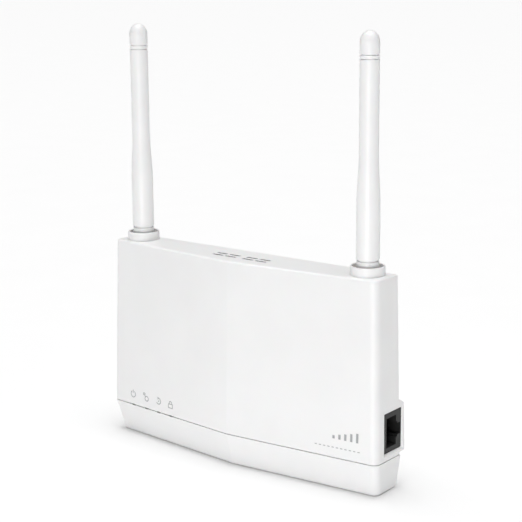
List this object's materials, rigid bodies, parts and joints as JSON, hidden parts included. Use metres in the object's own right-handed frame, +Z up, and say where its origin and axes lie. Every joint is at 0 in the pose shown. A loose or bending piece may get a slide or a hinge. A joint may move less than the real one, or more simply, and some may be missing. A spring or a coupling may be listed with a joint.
{
  "type": "wifi range extender",
  "caption": "Slim upright wifi extender with a creased front, stick antennas that swivel and tilt, a side LAN socket, a fold-out wall plug and a pairing button.",
  "frame": {"origin": "under the middle of the object's box, on the surface that it stands on", "axes": "+X to the right seen from the front, +Y to the back, +Z up along the antennas"},
  "size_m": [0.1382, 0.0264, 0.1776],
  "materials": {
    "white_abs": "satin moulded white ABS",
    "white_antenna": "satin white moulded sleeve",
    "white_pom": "natural acetal",
    "clear_guide": "smoky clear acrylic",
    "black_pbt": "black PBT",
    "label_film": "blank polyester film",
    "gold_contact": "gold-plated phosphor bronze",
    "brass": "turned brass",
    "nickel_blade": "nickel-plated brass blade",
    "steel": "zinc-plated steel",
    "tin_shield": "tinned steel can",
    "aluminium": "bare aluminium",
    "board": "green glass-epoxy board",
    "chip": "black moulding compound",
    "ferrite": "ferrite core",
    "winding": "taped copper winding",
    "capacitor": "sleeved can",
    "grey_cable": "coax jacket",
    "wire": "PVC insulated wire"
  },
  "bodies": {
    "casing": {"front_shell": "white_abs", "rear_cover": "white_abs", "lower_cover": "white_abs", "light_guide": "clear_guide", "rating_label": "label_film", "lan_socket": "black_pbt", "lan_contacts": "gold_contact", "plug_contacts": "gold_contact", "power_leads": "wire", "main_board": "board", "power_board": "board", "rf_shield": "tin_shield", "radio_chips": "chip", "heat_spreader": "aluminium", "lan_magnetics": "chip", "coax_connectors": "gold_contact", "lamp_chips": "clear_guide", "transformer_core": "ferrite", "transformer_winding": "winding", "power_capacitors": "capacitor", "mains_filter": "capacitor", "board_link": "chip", "pair_switch": "tin_shield", "reset_switch": "tin_shield", "case_screws": "steel", "base_screws": "steel", "board_screws": "steel", "left_collar": "white_abs", "left_swivel_washer": "white_pom", "left_coax_lead": "grey_cable", "right_collar": "white_abs", "right_swivel_washer": "white_pom", "right_coax_lead": "grey_cable"},
    "left_swivel": {"left_swivel_cup": "white_pom", "left_swivel_clip": "steel", "left_tilt_pins": "steel"},
    "left_antenna": {"left_antenna_foot": "white_antenna", "left_antenna_stick": "white_antenna", "left_antenna_cap": "white_antenna", "left_antenna_element": "board", "left_antenna_coax": "grey_cable"},
    "right_swivel": {"right_swivel_cup": "white_pom", "right_swivel_clip": "steel", "right_tilt_pins": "steel"},
    "right_antenna": {"right_antenna_foot": "white_antenna", "right_antenna_stick": "white_antenna", "right_antenna_cap": "white_antenna", "right_antenna_element": "board", "right_antenna_coax": "grey_cable"},
    "plug": {"plug_carrier": "white_pom", "plug_blades": "nickel_blade", "plug_pivots": "brass"},
    "pair_key": {"pair_button": "white_abs", "pair_plunger": "chip"},
    "reset_key": {"reset_plunger": "chip"}
  },
  "joints": [
    {"name": "left_swivel_turn", "type": "hinge", "parent": "casing", "child": "left_swivel", "pos_m": [-0.0578, 0.00264, 0.084], "axis": [0, 0, 1], "range_deg": [-170, 170]},
    {"name": "left_tilt", "type": "hinge", "parent": "left_swivel", "child": "left_antenna", "pos_m": [-0.0578, 0.00264, 0.084], "axis": [0, 1, 0], "range_deg": [-12, 12]},
    {"name": "right_swivel_turn", "type": "hinge", "parent": "casing", "child": "right_swivel", "pos_m": [0.0578, 0.00264, 0.084], "axis": [0, 0, 1], "range_deg": [-170, 170]},
    {"name": "right_tilt", "type": "hinge", "parent": "right_swivel", "child": "right_antenna", "pos_m": [0.0578, 0.00264, 0.084], "axis": [0, 1, 0], "range_deg": [-12, 12]},
    {"name": "plug_fold", "type": "hinge", "parent": "casing", "child": "plug", "pos_m": [0, 0.00484, 0.044], "axis": [-1, 0, 0], "range_deg": [0, 90]},
    {"name": "pair_press", "type": "slide", "parent": "casing", "child": "pair_key", "axis": [1, 0, 0], "range_m": [0, 0.0005], "stiffness_N_per_m": 1200, "springref_m": -0.0004},
    {"name": "reset_press", "type": "slide", "parent": "casing", "child": "reset_key", "axis": [0, -1, 0], "range_m": [0, 0.0004], "stiffness_N_per_m": 1200, "springref_m": -0.0004}
  ]
}
